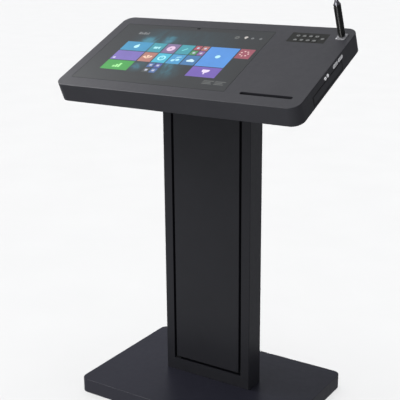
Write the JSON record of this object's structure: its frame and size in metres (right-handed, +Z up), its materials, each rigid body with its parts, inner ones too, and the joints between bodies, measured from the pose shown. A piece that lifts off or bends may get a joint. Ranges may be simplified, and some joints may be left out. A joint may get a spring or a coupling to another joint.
{
  "type": "lectern stand",
  "caption": "Free-standing digital lectern: tilted touch-screen desk with side drawer on a slim column with a service door, weighted base and gooseneck microphone.",
  "frame": {"origin": "on the floor under the middle of the base", "axes": "+X to the user's right, +Y away from the user, +Z up; the user stands on the -Y side"},
  "size_m": [0.78, 0.46, 1.5058],
  "materials": {
    "powder_coat": "fine-textured dark grey powder coat",
    "dark_coat": "matt black coat",
    "bright_steel": "satin plated steel",
    "black_plastic": "moulded black",
    "screen_glass": "anti-glare cover glass",
    "display_module": "display module, densities averaged",
    "circuit_board": "solder mask",
    "rubber": "matt",
    "mic_black": "satin black",
    "foam": "open-cell foam"
  },
  "bodies": {
    "stand": {"ballast_plate": "dark_coat", "base_cover": "powder_coat", "column_shell": "powder_coat", "column_spigot": "dark_coat", "display_glass": "screen_glass", "display_panel": "display_module", "display_rail_left": "bright_steel", "display_rail_right": "bright_steel", "door_frame": "dark_coat", "door_magnet": "black_plastic", "door_pivot_bottom": "bright_steel", "door_pivot_top": "bright_steel", "drawer_latch": "black_plastic", "drawer_rail_back": "bright_steel", "drawer_rail_front": "bright_steel", "equipment_shelf": "dark_coat", "foot_bolt_1": "bright_steel", "foot_bolt_2": "bright_steel", "foot_bolt_3": "bright_steel", "foot_bolt_4": "bright_steel", "foot_pad_1": "rubber", "foot_pad_2": "rubber", "foot_pad_3": "rubber", "foot_pad_4": "rubber", "head_bolt_1": "bright_steel", "head_bolt_2": "bright_steel", "head_bottom": "powder_coat", "head_bracket": "dark_coat", "head_shell": "powder_coat", "inlet_module": "black_plastic", "jack_front": "bright_steel", "jack_rear": "bright_steel", "keypad_board": "circuit_board", "keypad_plate": "black_plastic", "media_pc": "black_plastic", "mic_base": "mic_black", "mic_socket": "bright_steel", "nut_plate": "bright_steel", "port_front": "bright_steel", "port_rear": "bright_steel", "power_supply": "black_plastic", "sensor_lens": "black_plastic", "slot_liner": "black_plastic", "vent_grille": "dark_coat"},
    "door": {"service_door": "powder_coat"},
    "drawer": {"keyboard_drawer": "powder_coat", "compact_keyboard": "black_plastic"},
    "rocker": {"power_rocker": "black_plastic"},
    "mic_stem": {"neck_middle": "mic_black"},
    "mic_head": {"mic_capsule": "mic_black", "windscreen": "foam"},
    "button_1": {"key_1": "black_plastic"},
    "button_2": {"key_2": "black_plastic"},
    "button_3": {"key_3": "black_plastic"},
    "button_4": {"key_4": "black_plastic"},
    "button_5": {"key_5": "black_plastic"},
    "button_6": {"key_6": "black_plastic"},
    "button_7": {"key_7": "black_plastic"},
    "button_8": {"key_8": "black_plastic"},
    "button_9": {"key_9": "black_plastic"}
  },
  "joints": [
    {"name": "door_hinge", "type": "hinge", "parent": "stand", "child": "door", "pos_m": [-0.1064, -0.018, 0.0925], "axis": [0, 0, -1], "range_deg": [0, 110]},
    {"name": "drawer_slide", "type": "slide", "parent": "stand", "child": "drawer", "axis": [1, 0, 0], "range_m": [0, 0.29]},
    {"name": "mains_rocker", "type": "hinge", "parent": "stand", "child": "rocker", "pos_m": [0.095, 0.0435, 0.166], "axis": [1, 0, 0], "range_deg": [-8, 8]},
    {"name": "lower_flex", "type": "hinge", "parent": "stand", "child": "mic_stem", "pos_m": [0.36, 0.03279, 1.23972], "axis": [1, 0, 0], "range_deg": [-50, 60]},
    {"name": "upper_flex", "type": "hinge", "parent": "mic_stem", "child": "mic_head", "pos_m": [0.36, -0.04042, 1.40416], "axis": [1, 0, 0], "range_deg": [-60, 60]},
    {"name": "press_1", "type": "slide", "parent": "stand", "child": "button_1", "axis": [0, 0.4067, -0.9135], "range_m": [0, 0.0008], "stiffness_N_per_m": 600, "springref_m": -0.001},
    {"name": "press_2", "type": "slide", "parent": "stand", "child": "button_2", "axis": [0, 0.4067, -0.9135], "range_m": [0, 0.0008], "stiffness_N_per_m": 600, "springref_m": -0.001},
    {"name": "press_3", "type": "slide", "parent": "stand", "child": "button_3", "axis": [0, 0.4067, -0.9135], "range_m": [0, 0.0008], "stiffness_N_per_m": 600, "springref_m": -0.001},
    {"name": "press_4", "type": "slide", "parent": "stand", "child": "button_4", "axis": [0, 0.4067, -0.9135], "range_m": [0, 0.0008], "stiffness_N_per_m": 600, "springref_m": -0.001},
    {"name": "press_5", "type": "slide", "parent": "stand", "child": "button_5", "axis": [0, 0.4067, -0.9135], "range_m": [0, 0.0008], "stiffness_N_per_m": 600, "springref_m": -0.001},
    {"name": "press_6", "type": "slide", "parent": "stand", "child": "button_6", "axis": [0, 0.4067, -0.9135], "range_m": [0, 0.0008], "stiffness_N_per_m": 600, "springref_m": -0.001},
    {"name": "press_7", "type": "slide", "parent": "stand", "child": "button_7", "axis": [0, 0.4067, -0.9135], "range_m": [0, 0.0008], "stiffness_N_per_m": 600, "springref_m": -0.001},
    {"name": "press_8", "type": "slide", "parent": "stand", "child": "button_8", "axis": [0, 0.4067, -0.9135], "range_m": [0, 0.0008], "stiffness_N_per_m": 600, "springref_m": -0.001},
    {"name": "press_9", "type": "slide", "parent": "stand", "child": "button_9", "axis": [0, 0.4067, -0.9135], "range_m": [0, 0.0008], "stiffness_N_per_m": 600, "springref_m": -0.001}
  ]
}
